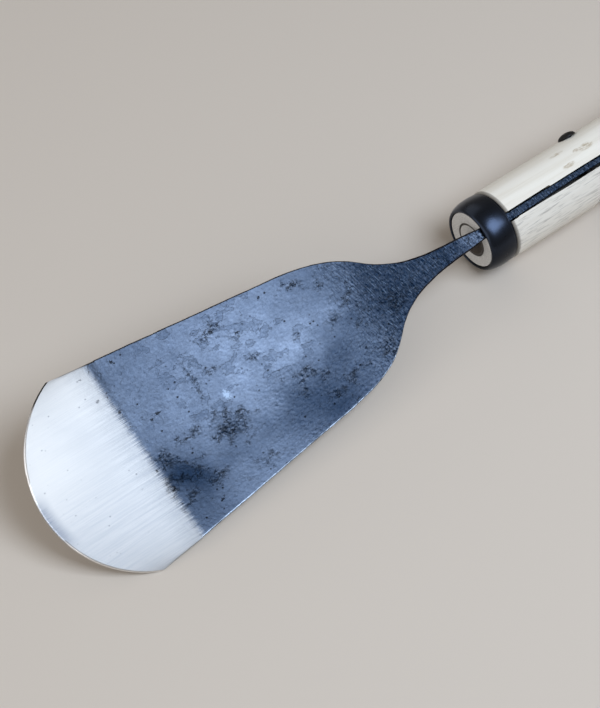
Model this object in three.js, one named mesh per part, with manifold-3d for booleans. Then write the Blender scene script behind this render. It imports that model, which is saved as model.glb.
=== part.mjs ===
// A straight farm adze: a forged spatula blade in line with a round oak handle.
// The blade's tang lies in a slot along the handle, under a steel ferrule, and a cross bolt holds it.
//
// The tool's own frame, in millimetres: x runs along the handle towards the butt, with x = 0 at the
// wood's front face, z points out of the slot, and y points across the blade. "Reach" is the distance
// ahead of the front face, so a point at some reach has x = -reach.
// The finished part lies as the tool does on a table: the handle flat on it, rolled until the
// blade's near corner touches.
import * as THREE from 'three';
import { mergeVertices } from 'three/addons/utils/BufferGeometryUtils.js';
import Module from 'manifold-3d';

const wasm = await Module();
wasm.setup();

// ---- Driving dimensions ----

const gap = 0.3;                    // between pieces that touch
const roll = THREE.MathUtils.degToRad(30);

// Handle
const handleLength = 455;
const handleRadius = 17.85;
const tenonRadius = 14.4;           // the stretch inside the ferrule
const shoulderX = 14.2;             // where the full thickness starts
const shoulderChamfer = 0.9;
const faceChamfer = 0.5;
const grooveRadius = 8.35;          // ring left in the front face by the lathe centre
const grooveWidth = 0.7;
const grooveDepth = 0.6;
const buttRounding = 5;

// Slot for the tang, open at the front face and along the top
const slotFloor = -2;
const slotLength = 112;
const slotHalfMouth = 3.1;
const slotHalfWidth = 2.45;
const slotHalfEnd = 1.6;

// Ferrule
const ferruleFront = -0.5;
const ferruleRear = 13.9;
const ferruleBore = 14.75;
const ferruleRim = 15.6;            // outer radius of the flat front ring
const ferruleCrestX = 8;            // where the barrel reaches the handle's radius
const ferruleFall = 0.25;           // how much the barrel falls behind its crest
const ferruleLip = 17.0;            // outer radius of the narrow step at the rear
const ferruleLipWidth = 1.1;

// Tang and neck
const tangReach = -105;
const tangTop = 13.4;
const tangBottom = -1.5;
const tangTopDrop = 2.4;            // how much lower the top is at the tip
const tangTipDepth = 3.6;
const tangRise = { reach: -80, height: 1 };     // where and how far the bottom edge has risen
const tangTipHalf = 1.15;
const tangHalf = 2.0;               // just behind the ferrule
const tangHalfReach = -16;
const neckHalf = 2.75;              // at the front face
const gripReach = 3;                // how far behind the face it keeps that width
const neckSwell = { reach: 18, half: 5.8 };     // the two guide points of the neck's outline
const neckWaist = { reach: 42, half: 2.2 };
const neckTopGuide = { reach: 30, drop: 0.2 };
const neckUnderStart = 2;           // reach where the neck's underside starts to rise
const neckUnderGuides = [16, 18];
const neckUnderEnd = 48;            // and where it has met the blade's underside

// Blade
const bladeStart = 60;              // reach where the neck has become the blade
const bladeThickness = 3.2;
const bladePitch = THREE.MathUtils.degToRad(0.5);
const shoulderStart = { reach: 60.4, half: 18.6 };
const shoulderReach = 101;
const shoulderHalf = 34.3;
const shoulderGuides = [{ reach: 72.4, half: 29.6 }, { reach: 86, half: 32.2 }];
const cornerHalf = 47.3;
const edgeRadius = 51.5;
const edgeCentreReach = 192;
const bevelReach = 190;             // the ground bevel starts straight across here
const bevelEndThickness = 1.1;      // and ends along a curve just inside the edge
const edgeThickness = 0.15;
const honeWidth = 0.8;              // narrow steep bevel along the curved edge
const neckShift = 0.3;
const shoulderShift = 1.7;
const yawReach = 76;
const yawSlope = 0.009;

// Edge steel, forge-welded under the front half of the blade
const steelThickness = 0.6;
const steelStart = 132;
const steelScarf = 4;

// Cross bolt through handle and tang
const boltX = 71.2;
const boltZ = 3;
const boltRadius = 2.5;
const boltHoleRadius = 2.9;
const headSeatY = 17.1;             // light flat on the far side for the domed head
const headSeatRadius = 5;
const nutSeatY = -11;               // floor of the counterbore that sinks the nut on the near side
const nutSeatRadius = 6.3;
const washerRadius = 5;
const washerThickness = 0.8;
const boltHeadRadius = 4.6;
const boltHeadHeight = 2.5;
const boltHeadRim = 0.4;            // straight edge under the dome
const boltTipChamfer = 0.6;
const nutAcrossFlats = 8;
const nutHeight = 4;
const boltTail = 1;                 // thread showing past the nut

// ---- Values worked out from them ----

const edgeReach = edgeCentreReach + edgeRadius;
const cornerReach = edgeCentreReach + Math.sqrt(edgeRadius ** 2 - cornerHalf ** 2);
const sideSlope = (cornerHalf - shoulderHalf) / (cornerReach - shoulderReach);
const headY = headSeatY + gap;
const washerY = nutSeatY - gap;
const nutY = washerY - washerThickness - gap;
const nutEndY = nutY - nutHeight;

// Hand forging leaves the neck a little to one side of the blade's centre line, and turns the
// blade slightly beyond it.
function centreDrift(reach) {
  const { smoothstep } = THREE.MathUtils;
  const neck = neckShift * smoothstep(reach, 0, neckSwell.reach);
  const shoulder = shoulderShift * smoothstep(reach, neckUnderEnd, yawReach);
  const yaw = yawSlope * Math.max(0, reach - yawReach);
  return neck - shoulder - yaw;
}

// The flat underside passes through the height at which the near corner touches the table.
const cornerAcross = cornerHalf - centreDrift(cornerReach);
const cornerUnderside = (cornerAcross * Math.sin(roll) - handleRadius) / Math.cos(roll);

function undersideZ(reach) {
  return cornerUnderside + (cornerReach - reach) * Math.tan(bladePitch);
}

const cutTop = 40;                  // clear above the whole blade

// ---- Solids ----

function toSolid(geometry) {
  const plain = geometry.index ? geometry.toNonIndexed() : geometry.clone();
  plain.deleteAttribute('normal');
  plain.deleteAttribute('uv');
  const merged = mergeVertices(plain, 1e-4);
  return new wasm.Manifold(new wasm.Mesh({
    numProp: 3,
    vertProperties: new Float32Array(merged.attributes.position.array),
    triVerts: new Uint32Array(merged.index.array),
  }));
}

function toGeometry(solid) {
  const mesh = solid.getMesh();
  const geometry = new THREE.BufferGeometry();
  geometry.setAttribute('position', new THREE.BufferAttribute(mesh.vertProperties, 3));
  geometry.setIndex(new THREE.BufferAttribute(mesh.triVerts, 1));
  geometry.computeVertexNormals();
  return geometry;
}

function vectors(pairs) {
  return pairs.map(([x, y]) => new THREE.Vector2(x, y));
}

// A solid turned about the x axis from (x, radius) pairs.
function turnedAlongX(pairs, segments) {
  const profile = pairs.map(([x, radius]) => new THREE.Vector2(radius, x));
  return toSolid(new THREE.LatheGeometry(profile, segments).rotateZ(-Math.PI / 2));
}

// A plan outline in (x, y), raised from one height to another.
function raised(points, bottom, top) {
  const options = { depth: top - bottom, bevelEnabled: false };
  return toSolid(new THREE.ExtrudeGeometry(new THREE.Shape(points), options).translate(0, 0, bottom));
}

// A side profile of (reach, z) pairs, carried across the whole width of the tool.
function sideProfile(pairs) {
  const width = 4 * cornerHalf;
  const shape = new THREE.Shape(vectors(pairs.map(([reach, z]) => [-reach, z])));
  const geometry = new THREE.ExtrudeGeometry(shape, { depth: width, bevelEnabled: false });
  return toSolid(geometry.translate(0, 0, -width / 2).rotateX(Math.PI / 2));
}

function crosswiseCylinder(radius, fromY, toY, x, z, sides = 32) {
  const geometry = new THREE.CylinderGeometry(radius, radius, Math.abs(toY - fromY), sides);
  return toSolid(geometry.translate(x, (fromY + toY) / 2, z));
}

// ---- Blade ----

// Half width of the forging against reach: a tapering tang, a slim neck that opens into the
// shoulders, and almost straight sides out to the corners.
function halfOutline() {
  const path = new THREE.Path();
  path.moveTo(tangReach, tangTipHalf);
  path.lineTo(tangHalfReach, tangHalf);
  path.lineTo(-gripReach, neckHalf);
  path.lineTo(0, neckHalf);
  path.bezierCurveTo(
    neckSwell.reach,
    neckSwell.half,
    neckWaist.reach,
    neckWaist.half,
    shoulderStart.reach,
    shoulderStart.half,
  );
  const [first, second] = shoulderGuides;
  path.bezierCurveTo(first.reach, first.half, second.reach, second.half, shoulderReach, shoulderHalf);
  path.lineTo((shoulderReach + cornerReach) / 2, (shoulderHalf + cornerHalf) / 2);
  return path.getPoints(14);
}

function bladeOutline() {
  const half = halfOutline();
  const side = (sign) => half.map((p) => [-p.x, sign * p.y + centreDrift(p.x)]);
  const edge = [];
  const sweep = Math.asin(cornerHalf / edgeRadius);
  const steps = 40;
  for (let i = 0; i <= steps; i++) {
    const angle = sweep * (1 - (2 * i) / steps);
    const reach = edgeCentreReach + edgeRadius * Math.cos(angle);
    edge.push([-reach, edgeRadius * Math.sin(angle) + centreDrift(cornerReach)]);
  }
  return vectors([...side(1), ...edge, ...side(-1).reverse()]);
}

// Everything above the ground bevel and the honed edge. Its lower face runs from a straight line
// across the blade to a curve just inside the edge, and from there steeply down past the edge.
function grindingCut() {
  const drift = centreDrift(cornerReach);
  const honeSlope = (bevelEndThickness - edgeThickness) / honeWidth;
  const past = 1;
  const columns = 48;
  const halfSpan = 1.15;            // of the blade's half width, so that the cut clears both sides
  const startHalf = cornerHalf - (cornerReach - bevelReach) * sideSlope;
  const sweep = Math.asin(cornerHalf / edgeRadius);
  const positions = [];
  const index = [];
  for (let i = 0; i <= columns; i++) {
    const v = halfSpan * (1 - (2 * i) / columns);
    const onArc = (radius, thickness) => {
      const reach = edgeCentreReach + radius * Math.cos(v * sweep);
      return [-reach, radius * Math.sin(v * sweep) + drift, undersideZ(reach) + thickness];
    };
    const start = [-bevelReach, v * startHalf + drift, undersideZ(bevelReach) + bladeThickness];
    const inner = onArc(edgeRadius - honeWidth, bevelEndThickness);
    const outer = onArc(edgeRadius + past, edgeThickness - past * honeSlope);
    const column = [start, inner, outer];
    column.push([outer[0], outer[1], cutTop], [start[0], start[1], cutTop]);
    positions.push(...column.flat());
  }
  const size = 5;
  for (let i = 0; i < columns; i++) {
    for (let j = 0; j < size; j++) {
      const here = i * size + j;
      const next = i * size + (j + 1) % size;
      index.push(here, next + size, next, here, here + size, next + size);
    }
  }
  const last = columns * size;
  for (let j = 1; j < size - 1; j++) {
    index.push(0, j, j + 1, last, last + j + 1, last + j);
  }
  const geometry = new THREE.BufferGeometry();
  geometry.setAttribute('position', new THREE.Float32BufferAttribute(positions, 3));
  geometry.setIndex(index);
  return toSolid(geometry);
}

function bladeBody() {
  const end = edgeReach + 1;
  const above = (reach, thickness) => [reach, undersideZ(reach) + thickness];
  const weldHeight = steelThickness + gap;
  const [low, high] = neckUnderGuides;
  const neckUnder = new THREE.CubicBezierCurve(...vectors([
    [neckUnderStart, tangBottom],
    [low, tangBottom],
    [high, undersideZ(bladeStart)],
    above(neckUnderEnd, 0),
  ])).getPoints(12).map((p) => [p.x, p.y]);
  const neckTop = new THREE.QuadraticBezierCurve(...vectors([
    [0, tangTop],
    [neckTopGuide.reach, tangTop - neckTopGuide.drop],
    above(bladeStart, bladeThickness),
  ])).getPoints(6).map((p) => [p.x, p.y]);
  const profile = sideProfile([
    [tangReach, tangTop - tangTopDrop],
    [tangHalfReach, tangTop],
    ...neckTop,
    above(end, bladeThickness),
    above(end, weldHeight),
    above(steelStart + steelScarf - gap, weldHeight),
    above(steelStart - 2 * gap, 0),
    ...neckUnder.reverse(),
    [tangRise.reach, tangBottom + tangRise.height],
    [tangReach, tangTop - tangTopDrop - tangTipDepth],
  ]);
  const boltHole = crosswiseCylinder(boltHoleRadius, -20, 20, boltX, boltZ);
  return raised(bladeOutline(), -10, 30).intersect(profile).subtract(grindingCut()).subtract(boltHole);
}

function edgeSteel() {
  const end = edgeReach + 1;
  const above = (reach, thickness) => [reach, undersideZ(reach) + thickness];
  const profile = sideProfile([
    above(steelStart, 0),
    above(steelStart + steelScarf, steelThickness),
    above(end, steelThickness),
    above(end, 0),
  ]);
  return raised(bladeOutline(), -10, 30).intersect(profile).subtract(grindingCut());
}

// ---- Handle ----

function handle() {
  const butt = handleLength;
  const rounding = [];
  const steps = 6;
  for (let i = 0; i <= steps; i++) {
    const angle = (Math.PI / 2) * (i / steps);
    const along = butt - buttRounding * (1 - Math.sin(angle));
    rounding.push([along, handleRadius - buttRounding * (1 - Math.cos(angle))]);
  }
  const wood = turnedAlongX([
    [0, 0],
    [0, grooveRadius - grooveWidth / 2],
    [grooveDepth, grooveRadius],
    [0, grooveRadius + grooveWidth / 2],
    [0, tenonRadius - faceChamfer],
    [faceChamfer, tenonRadius],
    [shoulderX, tenonRadius],
    [shoulderX, handleRadius - shoulderChamfer],
    [shoulderX + shoulderChamfer, handleRadius],
    ...rounding,
    [butt, 0],
  ], 48);
  const slot = vectors([
    [-5, slotHalfMouth],
    [shoulderX, slotHalfWidth],
    [slotLength - slotHalfEnd, slotHalfEnd],
    [slotLength, 0],
    [slotLength - slotHalfEnd, -slotHalfEnd],
    [shoulderX, -slotHalfWidth],
    [-5, -slotHalfMouth],
  ]);
  const through = 2 * handleRadius;
  return wood
    .subtract(raised(slot, slotFloor, through))
    .subtract(crosswiseCylinder(boltHoleRadius, -through, through, boltX, boltZ))
    .subtract(crosswiseCylinder(headSeatRadius, headSeatY, through, boltX, boltZ))
    .subtract(crosswiseCylinder(nutSeatRadius, nutSeatY, -through, boltX, boltZ));
}

function ferrule() {
  const lipStart = ferruleRear - ferruleLipWidth;
  const barrel = new THREE.CubicBezierCurve(
    ...vectors([
      [ferruleFront, ferruleRim],
      [ferruleFront + 0.8, ferruleRim + 1.3],
      [ferruleCrestX / 2, handleRadius],
      [ferruleCrestX, handleRadius],
    ]),
  ).getPoints(8).map((p) => [p.x, p.y]);
  return turnedAlongX([
    [ferruleFront, ferruleBore],
    ...barrel,
    [lipStart, handleRadius - ferruleFall],
    [lipStart + ferruleFall, ferruleLip],
    [ferruleRear, ferruleLip],
    [ferruleRear, ferruleBore],
    [ferruleFront, ferruleBore],
  ], 48);
}

// ---- Fasteners ----

function crossBolt() {
  const tail = nutEndY - boltTail;
  const domeHeight = boltHeadHeight - boltHeadRim;
  const dome = [];
  const steps = 8;
  for (let i = 0; i <= steps; i++) {
    const angle = (Math.PI / 2) * (i / steps);
    dome.push([boltHeadRadius * Math.cos(angle), headY + boltHeadRim + domeHeight * Math.sin(angle)]);
  }
  dome[steps][0] = 0;
  const profile = vectors([
    [0, tail],
    [boltRadius - boltTipChamfer, tail],
    [boltRadius, tail + boltTipChamfer],
    [boltRadius, headY],
    [boltHeadRadius, headY],
    ...dome,
  ]);
  return toSolid(new THREE.LatheGeometry(profile, 32).translate(boltX, 0, boltZ));
}

function washer() {
  const disc = crosswiseCylinder(washerRadius, washerY, washerY - washerThickness, boltX, boltZ);
  return disc.subtract(crosswiseCylinder(boltHoleRadius, 2 * washerY, 0, boltX, boltZ));
}

function hexNut() {
  const corners = nutAcrossFlats / 2 / Math.cos(Math.PI / 6);
  const body = crosswiseCylinder(corners, nutY, nutEndY, boltX, boltZ, 6);
  return body.subtract(crosswiseCylinder(boltRadius + gap, 2 * nutEndY, 0, boltX, boltZ));
}

// ---- Assembly ----

function piece(name, solid, color, roughness, metalness) {
  const material = new THREE.MeshStandardMaterial({ color, roughness, metalness });
  const mesh = new THREE.Mesh(toGeometry(solid), material);
  mesh.name = name;
  return mesh;
}

const tool = new THREE.Group();
tool.add(
  piece('blade_forging', bladeBody(), 0x3a4558, 0.45, 0.9),
  piece('edge_steel', edgeSteel(), 0xd8dce0, 0.3, 1),
  piece('handle', handle(), 0xe0d8c4, 0.6, 0),
  piece('ferrule', ferrule(), 0x15171a, 0.4, 0.8),
  piece('cross_bolt', crossBolt(), 0x1c1e22, 0.45, 0.8),
  piece('nut_washer', washer(), 0x2a2c30, 0.5, 0.8),
  piece('hex_nut', hexNut(), 0x1c1e22, 0.45, 0.8),
);

// Roll the tool to its lie, then stand the whole of it on z = 0 about the middle of its footprint.
tool.rotation.x = roll;
tool.updateMatrixWorld(true);
const bounds = new THREE.Box3().setFromObject(tool, true);
const middle = bounds.getCenter(new THREE.Vector3());
tool.position.set(-middle.x, -middle.y, -bounds.min.z);

const part = new THREE.Group();
part.add(tool);

export default part;
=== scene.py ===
# A straight push adze lying on a pale floor: a hand-forged spatula blade with a ground edge, on a
# slotted oak handle with a black steel ferrule and a cross bolt.
import math

import bmesh
import bpy
import numpy as np
from mathutils import Matrix, Vector, noise


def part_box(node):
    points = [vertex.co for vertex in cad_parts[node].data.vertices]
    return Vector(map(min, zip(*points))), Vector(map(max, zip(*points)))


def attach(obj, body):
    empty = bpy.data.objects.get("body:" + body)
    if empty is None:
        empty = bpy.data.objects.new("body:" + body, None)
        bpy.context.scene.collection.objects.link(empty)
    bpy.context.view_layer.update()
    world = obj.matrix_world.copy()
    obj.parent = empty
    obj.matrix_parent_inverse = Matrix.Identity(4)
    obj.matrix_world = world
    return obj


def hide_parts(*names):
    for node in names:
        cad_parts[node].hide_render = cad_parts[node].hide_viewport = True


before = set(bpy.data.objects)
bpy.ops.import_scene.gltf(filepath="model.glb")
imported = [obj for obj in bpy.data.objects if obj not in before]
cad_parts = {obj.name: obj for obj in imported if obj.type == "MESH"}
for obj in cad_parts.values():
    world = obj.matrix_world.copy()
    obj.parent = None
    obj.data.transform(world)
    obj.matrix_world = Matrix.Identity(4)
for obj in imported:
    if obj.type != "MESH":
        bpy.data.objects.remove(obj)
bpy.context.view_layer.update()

# ---- The tool's own frame ----
# Millimetres. x runs along the handle towards the butt from the wood's front face, z points out of
# the slot, and y points across the blade. Reach is the distance ahead of the face, so x = -reach.

MM = 0.001
handle_low, handle_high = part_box("handle")
HANDLE_RADIUS = (handle_high.z - handle_low.z) / 2 / MM
HANDLE_LENGTH = (handle_high.x - handle_low.x) / MM
FACE_CENTRE = Vector((handle_low.x, (handle_low.y + handle_high.y) / 2,
                      (handle_low.z + handle_high.z) / 2))
ROLL = math.radians(30)
TOOL = Matrix.Translation(FACE_CENTRE) @ Matrix.Rotation(ROLL, 4, "X") @ Matrix.Scale(MM, 4)
TO_TOOL = TOOL.inverted()


def tool_box(node):
    """Lowest and highest corner of a CAD node in the tool's frame, in millimetres."""
    points = np.array([TO_TOOL @ v.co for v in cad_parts[node].data.vertices])
    return points.min(0), points.max(0)


# ---- Driving sizes of the forging ----
# They are the CAD's, but for a narrower honed strip, a thinner bevel end and a finer weld gap.

GAP = 0.3
TANG_REACH = -105.0
TANG_TOP = 13.4
TANG_BOTTOM = -1.5
TANG_TOP_DROP = 2.4
TANG_TIP_HALF = 1.15
TANG_HALF = 2.0
TANG_HALF_REACH = -16
TANG_LEAN = 0.3          # the tang lies a little nearer the slot's far wall
NECK_HALF = 2.75
NECK_UNDER_START = 2.0   # the neck's underside rises to the blade's between these two reaches
NECK_UNDER_END = 48.0
BLADE_START = 60.0
SHOULDER_START = (60.4, 18.6)
BLADE_THICKNESS = 3.2
BLADE_PITCH = math.radians(0.5)
SHOULDER_REACH = 101.0
SHOULDER_HALF = 34.3
CORNER_HALF = 47.3
EDGE_RADIUS = 51.5
EDGE_CENTRE = 192.0
BEVEL_REACH = 190.0
BEVEL_END = 0.75
EDGE_THICKNESS = 0.15
HONE_WIDTH = 0.45
STEEL_THICKNESS = 0.6
STEEL_START = 132.0
STEEL_SCARF = 4.0
WELD_GAP = 0.03
GROUND_START = 191.8     # where the ground steel starts on top, and how far that moves per mm of y
GROUND_TILT = 0.057
CORNER_REACH = EDGE_CENTRE + math.sqrt(EDGE_RADIUS ** 2 - CORNER_HALF ** 2)
HONE_SLOPE = (BEVEL_END - EDGE_THICKNESS) / HONE_WIDTH
SIDE_SLOPE = (CORNER_HALF - SHOULDER_HALF) / (CORNER_REACH - SHOULDER_REACH)

# ---- Small numeric helpers ----


def smoothstep(x, low, high):
    t = np.clip((np.asarray(x, float) - low) / (high - low), 0, 1)
    return t * t * (3 - 2 * t)


def bezier(points, steps=80):
    a, b, c, d = np.array(points, float)
    t = np.linspace(0, 1, steps)[:, None]
    return (1 - t) ** 3 * a + 3 * t * (1 - t) ** 2 * b + 3 * t * t * (1 - t) * c + t ** 3 * d


def spaced(low, high, step):
    return list(np.linspace(low, high, max(2, int(round((high - low) / step)) + 1)))


def noise_at(points, size, seed=0.0, octaves=3):
    """Fractal noise of about -1 to 1 at each point. size is its grain along x, y and z, in mm."""
    scaled = np.asarray(points, float) / np.asarray(size, float) + seed
    return np.array([noise.fractal(Vector(p), 0.9, 2.1, octaves) for p in scaled.tolist()])


# ---- The forging's outline and heights ----

HALF_OUTLINE = np.vstack([
    [[TANG_REACH, TANG_TIP_HALF], [TANG_HALF_REACH, TANG_HALF], [-3, NECK_HALF], [0, NECK_HALF]],
    bezier([(0, NECK_HALF), (18, 5.8), (42, 2.2), SHOULDER_START])[1:],
    bezier([SHOULDER_START, (72.4, 29.6), (86, 32.2), (SHOULDER_REACH, SHOULDER_HALF)])[1:],
    [[CORNER_REACH, CORNER_HALF]],
])


def centre_drift(reach):
    """How far hand forging leaves the middle of the blade to one side of the handle's line."""
    reach = np.asarray(reach, float)
    neck = 0.3 * smoothstep(reach, 0, 18)
    shoulder = 1.7 * smoothstep(reach, 48, 76)
    yaw = 0.009 * np.maximum(0, reach - 76)
    return neck - shoulder - yaw + TANG_LEAN * smoothstep(-reach, 18, 45)


EDGE_DRIFT = float(centre_drift(CORNER_REACH))
CORNER_UNDERSIDE = ((CORNER_HALF - EDGE_DRIFT) * math.sin(ROLL) - HANDLE_RADIUS) / math.cos(ROLL)


def underside(reach):
    return CORNER_UNDERSIDE + (CORNER_REACH - np.asarray(reach, float)) * math.tan(BLADE_PITCH)


def half_width(reach):
    return np.interp(reach, HALF_OUTLINE[:, 0], HALF_OUTLINE[:, 1])


NECK_TOP = bezier([(0, TANG_TOP), (20, TANG_TOP - 0.1), (40, TANG_TOP - 0.4),
                   (BLADE_START, float(underside(BLADE_START)) + BLADE_THICKNESS)])
NECK_UNDER = bezier([(NECK_UNDER_START, TANG_BOTTOM), (16, TANG_BOTTOM), (18, float(underside(BLADE_START))),
                     (NECK_UNDER_END, float(underside(NECK_UNDER_END)))])


def top_height(reach, thickness):
    """Height of the upper face. thickness is the blade's, and only matters ahead of the neck."""
    drop = TANG_TOP_DROP * np.clip((TANG_HALF_REACH - reach) / (TANG_HALF_REACH - TANG_REACH), 0, 1)
    neck = np.interp(reach, NECK_TOP[:, 0], NECK_TOP[:, 1])
    ahead = np.where(reach < BLADE_START, neck, underside(reach) + thickness)
    return np.where(reach < 0, TANG_TOP - drop, ahead)


def body_bottom(reach):
    tang = np.interp(reach, [TANG_REACH, -80, NECK_UNDER_START], [TANG_TOP - 6, TANG_BOTTOM + 1, TANG_BOTTOM])
    neck = np.interp(reach, NECK_UNDER[:, 0], NECK_UNDER[:, 1])
    weld = (STEEL_THICKNESS + WELD_GAP) * np.clip((reach - STEEL_START) / STEEL_SCARF, 0, 1)
    ahead = np.where(reach < NECK_UNDER_END, neck, underside(reach) + weld)
    return np.where(reach < NECK_UNDER_START, tang, ahead)


def steel_top(reach, thickness):
    rise = STEEL_THICKNESS * np.clip((reach - STEEL_START) / STEEL_SCARF, 0.05, 1)
    return underside(reach) + np.minimum(rise, thickness)


# ---- Meshes ----


def finish_piece(obj, nodes, material):
    """Gives a piece its tool coordinates, material and body, and hides the CAD nodes that it stands in for.
    """
    mesh = obj.data
    if "tool" not in mesh.attributes:
        places = np.array([TO_TOOL @ v.co for v in mesh.vertices], np.float32)
        mesh.attributes.new("tool", "FLOAT_VECTOR", "POINT").data.foreach_set("vector", places.ravel())
    mesh.materials.clear()
    mesh.materials.append(material)
    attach(obj, "root")
    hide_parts(*nodes)
    return obj


def mesh_object(name, points, faces, sharp_angle=35):
    """An object whose points are given in the tool's frame, in millimetres."""
    mesh = bpy.data.meshes.new(name)
    turn = np.array(TOOL.to_3x3())
    world = np.asarray(points, float) @ turn.T + np.array(TOOL.translation)
    mesh.from_pydata(world.tolist(), [], faces)
    mesh.validate()
    bm = bmesh.new()
    bm.from_mesh(mesh)
    bmesh.ops.recalc_face_normals(bm, faces=bm.faces)
    bm.to_mesh(mesh)
    bm.free()
    obj = bpy.data.objects.new(name, mesh)
    bpy.context.scene.collection.objects.link(obj)
    shade(obj, sharp_angle)
    return obj


def shade(obj, sharp_angle):
    mesh = obj.data
    mesh.polygons.foreach_set("use_smooth", [True] * len(mesh.polygons))
    mesh.set_sharp_from_angle(angle=math.radians(sharp_angle))
    mesh.update()


def ring_faces(rows, loop):
    """Quads between rows of closed loops that follow one another."""
    faces = []
    for i in range(rows - 1):
        for j in range(loop):
            k = (j + 1) % loop
            faces.append((i * loop + j, i * loop + k, (i + 1) * loop + k, (i + 1) * loop + j))
    return faces


def closing_faces(rows, loop):
    """Quads from the last row of a shape that closes on itself back to its first."""
    last = (rows - 1) * loop
    return [(last + j, last + (j + 1) % loop, (j + 1) % loop, j) for j in range(loop)]


def strip_faces(upper, lower):
    """Triangles between two runs of points that share their direction."""
    faces = []
    i = j = 0
    while i < len(upper) - 1 or j < len(lower) - 1:
        ahead_i = (i + 1) / (len(upper) - 1)
        ahead_j = (j + 1) / (len(lower) - 1)
        if j == len(lower) - 1 or (i < len(upper) - 1 and ahead_i <= ahead_j):
            faces.append((upper[i], upper[i + 1], lower[j]))
            i += 1
        else:
            faces.append((upper[i], lower[j + 1], lower[j]))
            j += 1
    return faces


def lathe(name, profile, sides=160, centre=(0, 0, 0), axis="x", closed=False, sharp_angle=35):
    """A solid turned about an axis from (along, radius) pairs, closed on the axis or on itself."""
    angles = np.linspace(0, 2 * math.pi, sides, endpoint=False)
    points = []
    for along, radius in profile:
        for angle in angles:
            u, v = radius * math.cos(angle), radius * math.sin(angle)
            points.append((along, u, v) if axis == "x" else (v, along, u))
    points = np.array(points) + np.array(centre)
    rows = len(profile)
    faces = ring_faces(rows, sides)
    if closed:
        faces += closing_faces(rows, sides)
    else:
        faces.append(tuple(range(sides)))
        faces.append(tuple((rows - 1) * sides + j for j in range(sides)))
    return mesh_object(name, points, faces, sharp_angle)


def rounded(corners, radius, steps=5):
    """A polyline of (along, radius) pairs with its inner corners rounded."""
    out = [corners[0]]
    for before, here, after in zip(corners, corners[1:], corners[2:]):
        a, b, c = (np.array(p, float) for p in (before, here, after))
        reach = min(radius, np.linalg.norm(a - b) / 2.1, np.linalg.norm(c - b) / 2.1)
        start = b + (a - b) / np.linalg.norm(a - b) * reach
        end = b + (c - b) / np.linalg.norm(c - b) * reach
        for t in np.linspace(0, 1, steps):
            out.append(tuple((1 - t) ** 2 * start + 2 * t * (1 - t) * b + t * t * end))
    out.append(corners[-1])
    return out


# ---- Blade rows ----
# The forging and its edge steel are lofted through closed rows. A row is (place, thickness): place
# gives reach and y for v from 1 to -1 across the blade.

EDGE_ROWS = 80
HONE_STEP = 0.15


def straight_row(reach):
    half = float(half_width(reach))
    drift = float(centre_drift(reach))
    return (lambda v: (np.full_like(v, reach), v * half + drift)), BLADE_THICKNESS


def arc_angle(radius):
    """Half the sweep of a circle about the edge's centre between the blade's straight sides."""
    side = CORNER_HALF - SIDE_SLOPE * (CORNER_REACH - EDGE_CENTRE)
    lean = math.atan(SIDE_SLOPE)
    return lean + math.asin(min(1, side * math.cos(lean) / radius))


def bent_row(radius, share, thickness):
    """Straight across at the bevel's start for share 0, and an arc about the edge's centre for 1."""
    sweep = arc_angle(radius)
    line_half = float(half_width(BEVEL_REACH))

    def place(v):
        reach = (1 - share) * BEVEL_REACH + share * (EDGE_CENTRE + radius * np.cos(v * sweep))
        y = (1 - share) * v * line_half + share * radius * np.sin(v * sweep)
        return reach, y + EDGE_DRIFT

    return place, thickness


def blade_rows(start, end_radius, step):
    """Rows from one reach, over the ground bevel's ruled surface, to the honed edge."""
    rows = [straight_row(r) for r in spaced(start, BEVEL_REACH, step)]
    inner = EDGE_RADIUS - HONE_WIDTH
    for share in np.linspace(0, 1, EDGE_ROWS)[1:]:
        rows.append(bent_row(inner, share, BLADE_THICKNESS + (BEVEL_END - BLADE_THICKNESS) * share))
    for radius in spaced(inner, end_radius, HONE_STEP)[1:]:
        rows.append(bent_row(radius, 1, EDGE_THICKNESS + (EDGE_RADIUS - radius) * HONE_SLOPE))
    return rows


ROUNDING = np.radians([0, 22.5, 45, 67.5, 90])
SIDE_POINTS = len(ROUNDING) + 1    # the rounding's, and one halfway down the side


def across_face(count):
    """v, drop, inset, rim, inner and middle for each point of a row over one face, from its +y side."""
    turn = ROUNDING
    sides = np.ones(SIDE_POINTS)
    v = np.concatenate([sides, np.linspace(1, -1, count + 2)[1:-1], -sides])
    drop = np.concatenate([[0], 1 - np.sin(turn), np.zeros(count), 1 - np.sin(turn[::-1]), [0]])
    inset = np.concatenate([[0], 1 - np.cos(turn), np.zeros(count), 1 - np.cos(turn[::-1]), [0]])
    corner = np.maximum(np.cos(turn) ** 0.5, 0.55)
    rim = np.concatenate([[1], corner, np.zeros(count), corner[::-1], [1]])
    inner = np.concatenate([np.zeros(SIDE_POINTS), np.ones(count), np.zeros(SIDE_POINTS)])
    middle = np.zeros(count + 2 * SIDE_POINTS)
    middle[[0, -1]] = 1
    return v, drop, inset, rim, inner, middle


def row_points(row, pattern, face_height, other_height, radius):
    place, thickness = row
    v, drop, inset, rim, inner, middle = pattern
    side_y = place(np.array([1.0, -1.0]))[1]
    half = max(abs(side_y[0] - side_y[1]) / 2, 1e-6)
    scaled = np.where(inner > 0, v * (1 - radius / max(half, 1.5 * radius)), v)
    reach, y = place(scaled)
    face = face_height(reach, thickness)
    other = other_height(reach, thickness)
    size = np.minimum(radius, 0.45 * np.abs(face - other))
    z = np.where(middle > 0, (face + other) / 2, face - np.sign(face - other) * drop * size)
    y = y - np.sign(v) * inset * size
    return np.column_stack([-reach, y, z]), rim


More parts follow.
